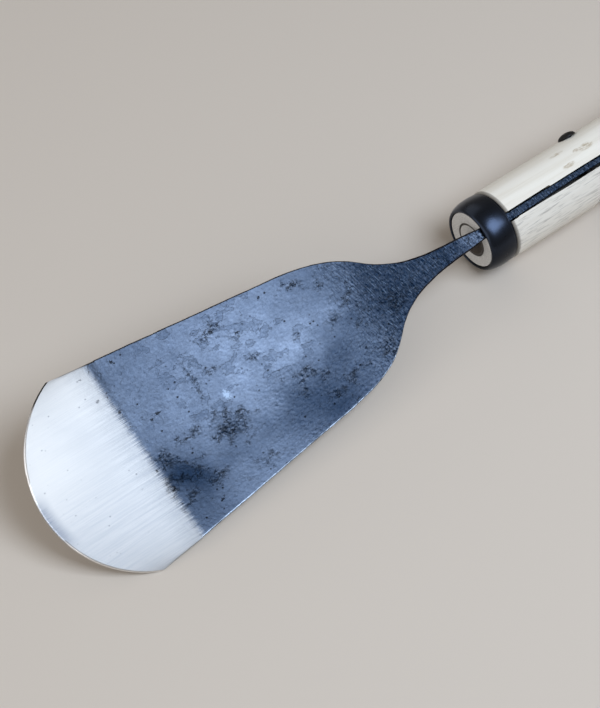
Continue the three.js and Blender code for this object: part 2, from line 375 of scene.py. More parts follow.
def forged_loft(rows, top, bottom, radius_of, upper_count, lower_count):
    """Points, rim and side (1 above, -1 below) of a closed mesh through the rows, and its faces."""
    upper, lower = across_face(upper_count), across_face(lower_count)
    points, rims, sides = [], [], []
    for row in rows:
        radius = radius_of(float(row[0](np.array([0.0]))[0][0]))
        over, over_rim = row_points(row, upper, top, bottom, radius)
        under, under_rim = row_points(row, lower, bottom, top, radius)
        points += [over, under[::-1][1:-1]]
        rims += [over_rim, under_rim[::-1][1:-1]]
        sides += [np.ones(len(over)), -np.ones(len(under) - 2)]
    size = upper_count + 2 * SIDE_POINTS
    loop = size + lower_count + 2 * SIDE_POINTS - 2
    faces = ring_faces(len(rows), loop)
    for start in (0, (len(rows) - 1) * loop):
        over = [start + k for k in range(size)]
        under = [start] + [start + k for k in range(loop - 1, size - 1, -1)] + [start + size - 1]
        faces += strip_faces(over, under)
    return np.vstack(points), np.concatenate(rims), np.concatenate(sides), faces


# ---- Looks of the forging that its mesh carries ----

# (reach, y, spread along, spread across, amount): where the scale is lighter or darker, partly its own tone
# and partly a painted highlight and painted shade where the lamp's reflection falls.
TONES = [
    (125, 10, 38, 26, 0.27), (111, 2, 9, 7, 0.15), (147, -1, 2.2, 2.6, 0.15), (148, 28, 13, 7, 0.04),
    (112, -16, 20, 11, -0.26), (104, -30, 28, 12, -0.27), (136, -24, 22, 8, -0.12), (82, -18, 14, 10, -0.10),
    (87, 26, 14, 9, -0.18), (89, -6, 10, 8, -0.19), (172, 30, 22, 12, -0.08), (66, 2, 17, 22, -0.28),
    (183, -30, 17, 21, -0.265), (186, -16, 8, 8, -0.16), (177, -22, 9, 7, -0.13), (162, -25, 8, 6, -0.12),
    (153, -13, 8, 7, -0.24), (129, 7, 4, 5, -0.12), (145, 12, 6, 7, -0.12), (157.5, 20, 1.6, 17, -0.07),
    (170, 1, 8, 5, 0.05), (149, 4, 6, 4, -0.08), (79, 1, 6, 4, -0.14), (68, 14, 5, 5, 0.06),
    (69, -15, 6, 5, 0.08), (103, 14, 12, 6, -0.05), (86, 16, 6, 5, -0.07), (96, 22, 14, 9, -0.05),
    (94, -12, 8, 6, -0.10), (104, -34, 12, 6, -0.12), (121, -14, 12, 6, -0.06),
]

# (reach, y, spread along, spread across, weight): where the scale is crusted and pitted.
CRUSTS = [
    (152, -12, 11, 9, 0.9), (184, -18, 11, 13, 0.75), (172, -28, 9, 5, 0.7), (112, -12, 13, 8, 0.5),
    (130, -13, 5, 6, 0.55), (98, -25, 14, 7, 0.47), (72, -20, 10, 8, 0.45), (147, -35, 11, 5, 0.65),
    (140, 26, 8, 6, 0.45), (128, 20, 4, 4, 0.4), (128, 8, 4, 6, 0.5), (150, 12, 8, 7, 0.5),
    (181, 8, 5, 4, 0.45), (97, 26, 10, 6, 0.5), (80, 20, 10, 8, 0.48), (54, -4, 12, 9, 0.5),
    (76, 4, 13, 9, 0.45), (165, -8, 9, 5, 0.5), (104, 6, 5, 3, 0.4),
]

BASE_TONE = 0.47
UNDER_TONE = 0.34
TRAIL_REACH = 157.5      # a crusted trail crosses the blade's far half here
FACES_APART = 90.0       # keeps the noise patterns of the two faces apart
FOLD_START = (187, -7)
FOLD_ALONG = (-0.656, -0.755)
NOTCHES = (13.0, 21.5)   # two dents across the neck


def bell(reach, y, centre, across, long, wide):
    """1 in the middle of a patch, fading out over its two spreads."""
    return np.exp(-((reach - centre) / long) ** 2 - ((y - across) / wide) ** 2)


def flat_places(points, sides):
    """Reach, y and a third value that differs between the two faces."""
    return np.column_stack([-points[:, 0], points[:, 1], np.where(sides > 0, 0.0, FACES_APART)])


def fold_at(flat):
    """Distance from a diagonal fold in the scale near the bevel, and how strongly it shows."""
    reach, y = flat[:, 0] - FOLD_START[0], flat[:, 1] - FOLD_START[1]
    side = -FOLD_ALONG[1] * reach + FOLD_ALONG[0] * y + 1.6 * noise_at(flat, (5, 5, 9), 5.2, 4)
    along = FOLD_ALONG[0] * reach + FOLD_ALONG[1] * y
    return side, smoothstep(along, -3, 3) * smoothstep(along, 33, 25)


def tone_at(flat, sides):
    """How light the scale is, painted highlight and shade included: about 0 for black and 0.7 for its palest
    blue-grey.
    """
    warp = 3.0 * noise_at(flat, (12, 11, 9), 4.4, 3)
    reach, y = flat[:, 0] + warp, flat[:, 1] + np.roll(warp, 1)
    tone = np.full(len(flat), BASE_TONE)
    for *place, amount in TONES:
        tone += amount * bell(reach, y, *place)
    side, share = fold_at(flat)
    tone -= 0.055 * share * smoothstep(side, -0.9, 1.2) * smoothstep(side, 14, 2)
    tone = np.where(sides > 0, tone, UNDER_TONE)
    # painted shade: darker towards the neck, which tilts away from the lamp's reflection
    tone *= 0.25 + 0.75 * smoothstep(reach, 48, 84)
    tone += 0.04 * (1 - smoothstep(reach, -6, -1))
    tone += 0.30 * (1 - smoothstep(reach, 6, 16)) * smoothstep(reach, -4, -1)
    # painted shade in the two notches across the neck
    tone -= 0.06 * np.exp(-((reach - NOTCHES[0]) / 0.8) ** 2)
    tone -= 0.07 * np.exp(-((reach - NOTCHES[1] - 1) / 2.6) ** 2)
    mottle = 0.17 * noise_at(flat, (13, 10, 9), 8.8, 3) + 0.10 * noise_at(flat, (3.2, 2.6, 3), 2.2, 3)
    return np.maximum(tone * (1 + mottle), 0.02)


def crust_at(flat, sides):
    """0 on sound scale and 1 where it is crusted and pitted, in patches with ragged outlines."""
    reach, y = flat[:, 0], flat[:, 1]
    weight = np.zeros(len(flat))
    for *place, amount in CRUSTS:
        weight = np.maximum(weight, amount * bell(reach, y, *place))
    ragged = 0.5 * noise_at(flat, (5.5, 4.5, 6), 6.6, 4) + 0.16
    weight = smoothstep(weight + ragged * np.where(weight > 0.05, 1.0, 0.4), 0.40, 1.15)
    wander = noise_at(np.column_stack([y, y * 0, y * 0]), (4.5, 1, 1), 6.1, 3)
    trail = np.exp(-((reach - TRAIL_REACH - 2.2 * wander) / 0.9) ** 2)
    trail *= smoothstep(y, -2, 6) * smoothstep(y, 26, 16)
    weight = np.maximum(weight, 0.52 * trail * (1 + 0.8 * ragged))
    side, share = fold_at(flat)
    weight = np.maximum(weight, 0.75 * share * np.exp(-side ** 2))
    below = smoothstep(noise_at(flat, (22, 18, 9), 3.7, 2), 0.05, 0.5)
    return np.where(sides > 0, weight, 0.8 * below)


def forge_relief(flat, crust):
    """How far forging lifts or sinks the surface, in millimetres."""
    reach, y = flat[:, 0], flat[:, 1]
    waves = 0.14 * noise_at(flat, (34, 26, 30), 3.1, 2) + 0.05 * noise_at(flat, (11, 9, 9), 7.7, 2)
    turn = math.radians(12)
    along = reach * math.cos(turn) + y * math.sin(turn)
    over = -reach * math.sin(turn) + y * math.cos(turn)
    strokes = noise_at(np.column_stack([along, over, flat[:, 2]]), (1.7, 6.5, 9), 1.3, 3)
    hammered = (1 - smoothstep(reach, 62, 96)) * smoothstep(reach, -4, 6)
    grain = noise_at(flat, (2.6, 2.1, 3), 5.9, 3)
    crack = 1 - smoothstep(np.abs(noise_at(flat, (5.0, 3.8, 3), 9.2, 3)), 0.02, 0.14)
    relief = waves + 0.07 * hammered * strokes + (0.012 + 0.06 * crust) * grain - 0.06 * crust * crack
    notches = np.exp(-((reach - NOTCHES[0]) / 0.9) ** 2) + 0.8 * np.exp(-((reach - NOTCHES[1]) / 1.1) ** 2)
    return relief - 0.22 * notches


def ground_share(flat):
    """1 where the top is ground bright, 0 where the forge scale is left."""
    return smoothstep(flat[:, 0] - (GROUND_START + GROUND_TILT * flat[:, 1]), -2, 2)


def forged_piece(name, rows, top, bottom, radius_of, counts, nodes, material, relief=True):
    points, rims, sides, faces = forged_loft(rows, top, bottom, radius_of, *counts)
    plain = points.copy()
    flat = flat_places(points, sides)
    tone, crust = tone_at(flat, sides), crust_at(flat, sides)
    if relief:
        kept = (1 - ground_share(flat)) * smoothstep(flat[:, 0], -104, -98)
        room = np.clip(1.4 - 1.4 * rims, 0, 1)
        points[:, 2] += forge_relief(flat, crust) * sides * kept * room
        edge_places = np.column_stack([points[:, 0], 40 * np.sign(points[:, 1]), points[:, 2]])
        wobble = noise_at(edge_places, (9, 9, 6), 2.4, 3) + 0.4 * noise_at(edge_places, (2.5, 9, 2.5), 5.4, 2)
        kept = smoothstep(flat[:, 0], 4, 30) * (1 - smoothstep(flat[:, 0], 175, 195))
        points[:, 1] += 0.13 * wobble * kept * np.sign(points[:, 1]) * (rims > 0)
    obj = mesh_object(name, points, faces, 50)
    mesh = obj.data
    if len(mesh.vertices) != len(points):
        raise ValueError(f"{name} lost points: {len(mesh.vertices)} of {len(points)}")
    mesh.attributes.new("tool", "FLOAT_VECTOR", "POINT").data.foreach_set(
        "vector", plain.astype(np.float32).ravel())
    for key, values in (("rim", rims), ("tone", tone), ("crust", crust)):
        mesh.attributes.new(key, "FLOAT", "POINT").data.foreach_set("value", values.astype(np.float32))
    return finish_piece(obj, nodes, material)


def blade_forging(material):
    end = EDGE_RADIUS - (STEEL_THICKNESS + 2 * WELD_GAP - EDGE_THICKNESS) / HONE_SLOPE
    rows = [straight_row(r) for r in spaced(TANG_REACH, -0.7, 1.5)]
    rows += blade_rows(0, end, 0.7)

    def radius_of(reach):
        return 0.35 if reach < -2 else 0.7 if reach < 45 else 0.4

    def bottom(reach, thickness):
        return body_bottom(reach)

    return forged_piece("blade_forging_visual", rows, top_height, bottom, radius_of, (140, 50),
                        ["blade_forging"], material)


def edge_steel(material):
    rows = blade_rows(STEEL_START, EDGE_RADIUS, 0.9)

    def bottom(reach, thickness):
        return underside(reach)

    return forged_piece("edge_steel_visual", rows, steel_top, bottom, lambda reach: 0.1, (40, 120),
                        ["edge_steel"], material, relief=False)


# ---- Handle ----


def cut(obj, cutter):
    change = obj.modifiers.new("cut", "BOOLEAN")
    change.operation = "DIFFERENCE"
    change.solver = "EXACT"
    change.object = cutter
    graph = bpy.context.evaluated_depsgraph_get()
    result = bpy.data.meshes.new_from_object(obj.evaluated_get(graph), depsgraph=graph)
    obj.modifiers.clear()
    obj.data = result
    bpy.data.objects.remove(cutter)


# The slot's walls as cut by hand: (x, distance from the middle), with a small step in each wall.
FAR_WALL = [(-6, 3.1), (14, 2.6), (40.9, 2.85), (41.3, 2.2), (60, 2.3), (76, 2.25), (95, 1.9)]
NEAR_WALL = [(-6, 3.1), (14, 2.6), (18.6, 2.5), (18.9, 2.2), (34, 2.3), (50, 2.6), (80, 2.35), (95, 1.9)]
SLOT_FLOOR = -2.0
SLOT_LENGTH = 112.0
SLOT_END = 1.6


def slot_cutter():
    """The tang's slot: a tapering prism with a round end, open at the front and above."""
    nose = [(SLOT_LENGTH - SLOT_END + SLOT_END * math.sin(a), SLOT_END * math.cos(a))
            for a in np.radians([0, 25, 50, 70, 85])]
    outline = FAR_WALL + nose + [(x, -h) for x, h in nose[::-1]] + [(x, -h) for x, h in NEAR_WALL[::-1]]
    count = len(outline)
    points = [(x, y, SLOT_FLOOR) for x, y in outline] + [(x, y, 2 * HANDLE_RADIUS) for x, y in outline]
    faces = [tuple(range(count)), tuple(range(count, 2 * count))]
    faces += [(j, (j + 1) % count, count + (j + 1) % count, count + j) for j in range(count)]
    return mesh_object("slot_cutter", points, faces)


def bolt_centre():
    low, high = tool_box("cross_bolt")
    return (low + high) / 2 * np.array([1, 0, 1])


BOLT_HEAD_HEIGHT = 2.5
BOLT_SEAT_RADIUS = 5.0
NUT_SEAT_RADIUS = 6.3
BOLT_HOLE_RADIUS = 2.9
GROOVE_RADIUS = 8.35     # the lathe's ring groove in the front face


def handle(material):
    tenon = 14.4
    shoulder = 14.2
    groove, groove_half, groove_depth = GROOVE_RADIUS, 0.4, 0.7
    butt = HANDLE_LENGTH
    rounding = 5.0
    edge_round = 1.25
    front = rounded([(0.0, 0.01), (0.0, groove - groove_half), (groove_depth, groove - 0.1),
                     (groove_depth, groove + 0.1), (0.0, groove + groove_half), (0.0, tenon),
                     (shoulder, tenon), (shoulder, HANDLE_RADIUS - 1.35)], 0.35)
    chamfer = [(shoulder + edge_round * (1 - math.cos(a)),
                HANDLE_RADIUS - edge_round + edge_round * math.sin(a))
               for a in np.radians([10, 30, 50, 70, 90])]
    length = [(x, HANDLE_RADIUS) for x in spaced(shoulder + 3, butt - rounding - 3, 3.0)]
    end = [(butt - rounding * (1 - math.sin(a)), HANDLE_RADIUS - rounding * (1 - math.cos(a)))
           for a in np.radians(np.linspace(0, 90, 10))]
    face = [(butt, r) for r in (11, 8, 4, 0.01)]
    obj = lathe("handle_visual", front + chamfer + length + end + face, sides=144)
    cut(obj, slot_cutter())
    centre = bolt_centre()
    head_seat = tool_box("cross_bolt")[1][1] - BOLT_HEAD_HEIGHT - GAP
    nut_seat = tool_box("nut_washer")[1][1] + GAP
    far = HANDLE_RADIUS + 5
    holes = ((-far, far, BOLT_HOLE_RADIUS), (head_seat, far, BOLT_SEAT_RADIUS),
             (nut_seat, -far, NUT_SEAT_RADIUS))
    for start, stop, radius in holes:
        cylinder = [(start, 0.01), (start, radius), (stop, radius), (stop, 0.01)]
        cut(obj, lathe("hole_cutter", cylinder, 64, centre, "y"))
    soften = obj.modifiers.new("soften", "BEVEL")
    soften.width = 0.2 * MM
    soften.segments = 2
    soften.limit_method = "ANGLE"
    soften.angle_limit = math.radians(50)
    soften.use_clamp_overlap = True
    shade(obj, 40)
    return finish_piece(obj, ["handle"], material)


# ---- Ferrule and fasteners ----


def ferrule(material):
    low, high = tool_box("ferrule")
    front, rear = low[0], high[0]
    outer = high[1]
    bore, ring, crest = 14.75, 15.6, 8
    lip, lip_radius = rear - 1.1, 17.0
    barrel = bezier([(front + 0.05, ring + 0.12), (front + 0.85, ring + 1.35), (crest / 2, outer),
                     (crest, outer)], 30)
    profile = [(front + 0.5, bore), (front + 0.15, bore + 0.1), (front, bore + 0.25), (front, ring - 0.22),
               (front, ring - 0.05)]
    profile += [tuple(p) for p in barrel]
    profile += rounded([(9.5, outer), (lip - 0.1, outer - 0.22), (lip + 0.05, lip_radius),
                        (rear, lip_radius), (rear, bore)], 0.3)
    profile += [(x, bore) for x in (10, 6, 2)]
    obj = lathe("ferrule_visual", profile, 180, closed=True, sharp_angle=28)
    return finish_piece(obj, ["ferrule"], material)


def cross_bolt(material):
    low, high = tool_box("cross_bolt")
    head_radius = (high[0] - low[0]) / 2
    shank, core, pitch = 2.5, 2.15, 0.8
    head = high[1] - BOLT_HEAD_HEIGHT
    rim = 0.35
    dome = [(head + rim + (BOLT_HEAD_HEIGHT - rim) * math.sin(a), head_radius * math.cos(a) + 0.01)
            for a in np.radians(np.linspace(0, 90, 16))]
    tail = low[1]
    smooth_from = -4.0
    steps = int((smooth_from - tail) / (pitch / 6))
    thread = [(tail, 0.01), (tail, core - 0.3), (tail + 0.35, core)]
    thread += [(tail + 0.4 + i * pitch / 6, core + (shank - core) * (0.5 - 0.5 * math.cos(i * math.pi / 3)))
               for i in range(steps)]
    profile = thread + [(smooth_from, shank), (head, shank), (head, head_radius - 0.15),
                        (head + 0.12, head_radius)]
    obj = lathe("cross_bolt_visual", profile + dome, 72, bolt_centre(), "y")
    return finish_piece(obj, ["cross_bolt"], material)


def nut_washer(material):
    low, high = tool_box("nut_washer")
    radius = (high[0] - low[0]) / 2
    bore = 2.7
    near, far = low[1], high[1]
    ring = [(near, bore + 0.1), (near, radius - 0.2), (near + 0.05, radius - 0.08), (near + 0.2, radius),
            (far - 0.15, radius), (far, radius - 0.15), (far, bore + 0.1), (far - 0.1, bore),
            (near + 0.1, bore)]
    obj = lathe("nut_washer_visual", ring, 72, bolt_centre(), "y", closed=True)
    return finish_piece(obj, ["nut_washer"], material)


def hex_nut(material):
    """A hexagon whose corners are turned off at both ends, with a chamfered threaded bore."""
    low, high = tool_box("hex_nut")
    flat = (high[0] - low[0]) / 2
    sides = 120
    inner = flat * 0.95
    bore = 2.55
    rows = [[] for _ in range(8)]
    for angle in np.linspace(0, 2 * math.pi, sides, endpoint=False):
        from_flat = (angle + math.pi / 6) % (math.pi / 3) - math.pi / 6
        reach = flat / math.cos(from_flat)
        drop = (reach - inner) * math.tan(math.radians(28))
        stations = [(low[1] + 0.3, bore), (low[1], bore + 0.3), (low[1], inner), (low[1] + drop, reach),
                    (high[1] - drop, reach), (high[1], inner), (high[1], bore + 0.3), (high[1] - 0.3, bore)]
        for row, (along, radius) in zip(rows, stations):
            row.append((radius * math.cos(angle), along, radius * math.sin(angle)))
    points = np.array([p for row in rows for p in row]) + bolt_centre()
    faces = ring_faces(len(rows), sides) + closing_faces(len(rows), sides)
    obj = mesh_object("hex_nut_visual", points, faces, 25)
    return finish_piece(obj, ["hex_nut"], material)


# ---- Materials ----


class Shader:
    """A material's node tree, with short calls for the nodes that it needs."""

    SOCKETS = {"color": "Base Color", "metallic": "Metallic", "roughness": "Roughness", "normal": "Normal",
               "specular": "Specular IOR Level", "tint": "Specular Tint"}

    def __init__(self, name):
        self.material = bpy.data.materials.new(name)
        self.material.use_nodes = True
        self.tree = self.material.node_tree
        self.bsdf = self.tree.nodes["Principled BSDF"]

    def node(self, kind, inputs=None, **settings):
        made = self.tree.nodes.new(kind)
        for key, value in settings.items():
            setattr(made, key, value)
        for key, value in (inputs or {}).items():
            self.feed(made.inputs[key], value)
        return made

    def feed(self, socket, value):
        if isinstance(value, bpy.types.NodeSocket):
            self.tree.links.new(value, socket)
        else:
            socket.default_value = value

    def attribute(self, name, output="Vector"):
        return self.node("ShaderNodeAttribute", attribute_name=name).outputs[output]

    def axes(self):
        split = self.node("ShaderNodeSeparateXYZ", {0: self.attribute("tool")})
        return split.outputs[0], split.outputs[1], split.outputs[2]

    def math(self, operation, a, b=0.0):
        return self.node("ShaderNodeMath", {0: a, 1: b}, operation=operation).outputs[0]

    def chain(self, operation, values):
        total = values[0]
        for value in values[1:]:
            total = self.math(operation, total, value)
        return total

    def add(self, *values):
        return self.chain("ADD", values)

    def times(self, *values):
        return self.chain("MULTIPLY", values)

    def largest(self, *values):
        return self.chain("MAXIMUM", values)

    def swing(self, noise, *amounts):
        """A 0 to 1 noise moved to lie about 0, times the amounts."""
        return self.times(self.add(noise, -0.5), *amounts)

    def length(self, a, b):
        return self.math("SQRT", self.add(self.times(a, a), self.times(b, b)))

    def ramp(self, value, low, high, start=0.0, end=1.0):
        """value mapped smoothly from low..high to start..end."""
        inputs = {"Value": value, "From Min": low, "From Max": high, "To Min": start, "To Max": end}
        return self.node("ShaderNodeMapRange", inputs, interpolation_type="SMOOTHSTEP").outputs[0]

    def stretched(self, size, turn=0.0, shift=(0, 0, 0)):
        """Tool coordinates divided by size, in mm, after a turn about z."""
        turned = self.node("ShaderNodeMapping", {"Vector": self.attribute("tool"), "Rotation": (0, 0, turn)})
        scaling = {"Vector": turned.outputs[0], "Scale": tuple(1 / s for s in size), "Location": shift}
        return self.node("ShaderNodeMapping", scaling).outputs[0]

    def noise(self, size, detail=3.0, roughness=0.55, turn=0.0, shift=(0, 0, 0), distortion=0.0):
        inputs = {"Vector": self.stretched(size, turn, shift), "Scale": 1.0, "Detail": detail,
                  "Roughness": roughness, "Distortion": distortion}
        return self.node("ShaderNodeTexNoise", inputs).outputs["Fac"]

    def painted_lit_side(self, size, step, turn=0.0):
        """About -0.2 to 0.2: a painted highlight on one side of each lump of a noise and painted shade on the
        other.
        """
        here = self.noise(size, 2, 0.5, turn=turn, shift=(4, 4, 1))
        beside = self.noise(size, 2, 0.5, turn=turn, shift=(4 - step, 4 - step, 1))
        return self.math("SUBTRACT", here, beside)

    def cells(self, size):
        inputs = {"Vector": self.stretched(size), "Scale": 1.0}
        return self.node("ShaderNodeTexVoronoi", inputs).outputs["Distance"]

    def spot(self, centre, size, ragged=0.0):
        """1 inside an ellipsoid, in tool coordinates, and 0 outside. ragged pushes its surface about."""
        away = self.node("ShaderNodeVectorMath", {0: self.attribute("tool"), 1: centre}, operation="SUBTRACT")
        scaled = self.node("ShaderNodeVectorMath", {0: away.outputs[0], 1: size}, operation="DIVIDE")
        length = self.node("ShaderNodeVectorMath", {0: scaled.outputs[0]}, operation="LENGTH")
        return self.ramp(self.add(length.outputs["Value"], ragged), 0.6, 1.1, 1, 0)

    def mix(self, share, a, b):
        return self.node("ShaderNodeMix", {0: share, 6: a, 7: b}, data_type="RGBA").outputs[2]

    def blend(self, share, a, b):
        return self.node("ShaderNodeMix", {0: share, 2: a, 3: b}, data_type="FLOAT").outputs[0]

    def bump(self, height, distance, strength=1.0, normal=None):
        """height, 0 to 1, as relief of distance millimetres."""
        inputs = {"Height": height, "Distance": distance * MM, "Strength": strength}
        if normal is not None:
            inputs["Normal"] = normal
        return self.node("ShaderNodeBump", inputs).outputs[0]

    def set(self, **values):
        for key, value in values.items():
            self.feed(self.bsdf.inputs[self.SOCKETS[key]], value)
        return self.material


# ---- Forged and ground steel ----

SCALE_DARK = (0.004, 0.010, 0.022, 1)
SCALE_LIGHT = (0.118, 0.145, 0.196, 1)
CRUST_BLACK = (0.006, 0.008, 0.011, 1)
HAMMER_GLINT = (0.15, 0.20, 0.27, 1)
BARE_IRON = (0.24, 0.30, 0.38, 1)
RUBBED_RIM_AND_HIGHLIGHT = (0.38, 0.44, 0.53, 1)
RIM_PAINTED_SHADE = (0.014, 0.010, 0.008, 1)
STEEL_SHADE = (0.475, 0.480, 0.490, 1)
STEEL_LIGHT = (0.515, 0.513, 0.512, 1)
STEEL_HIGHLIGHT = (0.625, 0.61, 0.59, 1)
STEEL_GROOVE_SHADE = (0.40, 0.425, 0.465, 1)
STEEL_PIT = (0.10, 0.11, 0.13, 1)
HONED_STEEL = (0.90, 0.895, 0.89, 1)
TIP_BLUE = (0.10, 0.13, 0.20, 1)
CORNER_BLACK = (0.012, 0.013, 0.016, 1)

HAMMER_TURN = math.radians(-14)
STROKE_TURN = math.radians(-12)
BLADE_TOP = 11.5         # z of the blade's upper face behind the bevel

# Single pits on the blade: (reach, y, radius).
PITS = [(184.2, 38.0, 0.9), (182.8, 36.8, 0.5), (138.6, 26.4, 1.1), (128.2, 20.2, 1.0), (181.4, 7.4, 0.7),
        (178.2, 8.4, 0.9), (125.0, -1.0, 0.6), (173.2, -7.4, 0.7), (190.2, -23.4, 1.1), (191.5, -12.5, 0.8),
        (173.6, -38.0, 0.9), (197.8, 26.2, 0.9), (199.8, 38.0, 0.6), (206.0, 28.2, 0.4), (192.4, 17.6, 0.7)]


class ForgedShader(Shader):
    """A material of the forging, with the fields that its looks share."""

    def __init__(self, name):
        super().__init__(name)
        x, self.y, _ = self.axes()
        self.reach = self.times(x, -1.0)
        self.crust = self.attribute("crust", "Fac")
        self.hammered = self.ramp(self.reach, 58, 90, 1, 0)
        self.mottle = self.noise((4.2, 3.2, 4), 5, 0.65)
        self.fine = self.noise((0.9, 0.7, 0.9), 4, 0.65)
        self.scratch = self.noise((30, 0.20, 3), 3, 0.7)
        self.coarse = self.noise((10, 0.55, 3), 3, 0.7, shift=(2, 7, 0))
        grains = self.noise((1.0, 0.8, 1.0), 2, 0.6, shift=(6, 2, 3))
        self.ragged = self.times(self.add(grains, -0.42), 3.4)


def thin_scale(s):
    """1 on crisp blotches of darker scale in the middle and far part of the blade."""
    blotches = s.ramp(s.noise((6.0, 4.6, 5), 4, 0.5, shift=(7, 3, 2)), 0.555, 0.580)
    return s.times(blotches, s.ramp(s.y, -9, -3), s.ramp(s.reach, 92, 104),
                   s.ramp(s.reach, 176, 162, 0.35, 1))


def rough_band(s):
    """1 on the rough near side between the shoulder and the crusts."""
    patchy = s.ramp(s.noise((7, 5, 6), 3, 0.6, shift=(2, 8, 5)), 0.38, 0.62, 0.2, 1)
    return s.times(s.ramp(s.y, -3, -14), s.ramp(s.reach, 145, 122), s.ramp(s.reach, 60, 80), patchy)


def pits(s):
    """1 in small pits: strewn ones in patches, and the single ones of the list."""
    strewn = s.ramp(s.cells((3.8, 3.2, 3.4)), 0.05, 0.15, 1, 0)
    chosen = s.ramp(s.noise((8, 7, 8), 2, shift=(9, 2, 1)), 0.50, 0.62)
    single = [s.spot((-reach, y, BLADE_TOP), (1.3 * radius, 0.9 * radius, 8.0), s.ragged)
              for reach, y, radius in PITS]
    return s.largest(s.times(strewn, chosen), *single)


def crust_marks(s, specks):
    """The cracks between the crust's flakes, and how dark cracks, holes and pits are in all."""
    flakes = s.noise((4.6, 3.2, 3), 5, 0.6, shift=(3, 1, 4), distortion=0.5)
    crack = s.ramp(s.math("ABSOLUTE", s.add(flakes, -0.5)), 0.004, 0.026, 1, 0)
    holes = s.ramp(s.noise((3.0, 2.2, 2.4), 2.2, 0.5, shift=(1, 5, 2), distortion=0.5), 0.55, 0.60)
    marks = s.largest(s.times(crack, 0.15), s.times(holes, 0.34))
    crusted = s.times(s.ramp(s.crust, 0.1, 0.7), marks, s.ramp(s.y, -5, 3, 1, 0.62))
    return crack, s.largest(crusted, s.times(specks, 0.75))


def ground_mask(s, boundary, tilt, feather):
    """1 where the steel is ground, whose streaks feather into the scale on the near side."""
    line = s.add(boundary, s.times(s.y, tilt))
    streaks = s.add(s.swing(s.scratch, 1.2), s.swing(s.coarse, 0.7))
    loose = s.ramp(s.y, 42, 10, 0.2, 1)
    ahead = s.add(s.reach, s.times(line, -1.0), s.times(streaks, feather, loose))
    worn = s.ramp(s.add(ahead, s.times(streaks, 1.5)), -1, 14, 0.60, 1)
    return s.times(s.ramp(ahead, -1.5, 3.0), worn)


def scale_color(s, flaked, rough, dark):
    """The mesh's cloudy tone with blotches, mottling, and a painted highlight and painted shade on two sides
    of each lump.
    """
    lumps = s.painted_lit_side((1.7, 1.35, 1.5), 0.34)
    strokes = s.painted_lit_side((0.9, 3.6, 3.0), 0.30, HAMMER_TURN)
    depth = s.add(0.45, s.times(s.crust, 2.7), s.times(s.hammered, 1.3), s.times(rough, 0.95))
    # painted highlight and shade beside each lump and hammer stroke
    lit = s.add(s.times(lumps, depth), s.times(strokes, s.hammered, 2.4))
    vary = s.add(1.0, s.swing(s.mottle, 0.5), s.swing(s.fine, 0.8),
                 s.times(flaked, -0.24), s.times(lit, 1.5))
    color = s.mix(s.times(s.attribute("tone", "Fac"), vary), SCALE_DARK, SCALE_LIGHT)
    color = s.mix(s.times(dark, 0.62), color, CRUST_BLACK)
    hairs = s.noise((0.32, 4.2, 3), 2, 0.5, turn=HAMMER_TURN, shift=(3, 1, 8))
    return s.mix(s.times(s.ramp(hairs, 0.60, 0.70), s.hammered, 0.38), color, HAMMER_GLINT)


def ground_color(s, specks):
    """Bright steel with fine scratches along the tool, a painted highlight towards the far side and the tip,
    and painted shade in its scratch grooves towards the near side.
    """
    bright = s.mix(s.ramp(s.scratch, 0.30, 0.72), STEEL_SHADE, STEEL_LIGHT)
    # painted highlight towards the tip and the far side
    towards_tip = s.times(s.ramp(s.reach, 200, 238), s.ramp(s.y, -30, 14))
    painted_highlight = s.largest(towards_tip, s.ramp(s.y, 8, 34, 0, 0.6))
    bright = s.mix(painted_highlight, bright, STEEL_HIGHLIGHT)
    # scratch grooves, darker towards the near side as painted shade
    grooves = s.ramp(s.add(s.scratch, s.times(s.coarse, 0.5)), 0.80, 0.62)
    bright = s.mix(s.times(grooves, s.ramp(s.y, 14, -24, 0.10, 0.42)), bright, STEEL_GROOVE_SHADE)
    return s.mix(s.times(specks, 0.5), bright, STEEL_PIT)


def edge_wear_and_shade(s, color):
    """A rubbed rim, partly a painted highlight, on the near side, painted shade on the far rim and the neck's
    sides, and one bare spot.
    """
    rim = s.attribute("rim", "Fac")
    chips = s.ramp(s.noise((7, 3, 3), 4, 0.7), 0.30, 0.56)
    # wear with a painted highlight: the rubbed rim shows only on the near, lit side
    rubbed = s.times(s.ramp(rim, 0.12, 0.5), chips, s.ramp(s.y, -4, -12), s.ramp(s.reach, 52, 66))
    color = s.mix(s.times(rubbed, 0.85), color, RUBBED_RIM_AND_HIGHLIGHT)
    # painted shade on the far rim and on the neck's side faces
    shaded_sides = s.largest(s.ramp(s.y, 4, 12), s.ramp(s.reach, 68, 54))
    painted_rim_shade = s.times(s.ramp(rim, 0.25, 0.6), shaded_sides, s.ramp(s.reach, -2, 3), 0.85)
    color = s.mix(painted_rim_shade, color, RIM_PAINTED_SHADE)
    bare = s.spot((-147.2, -0.6, 12.0), (1.7, 3.0, 4.0), s.times(s.ragged, 0.6))
    return s.mix(s.times(bare, 0.42), color, BARE_IRON)


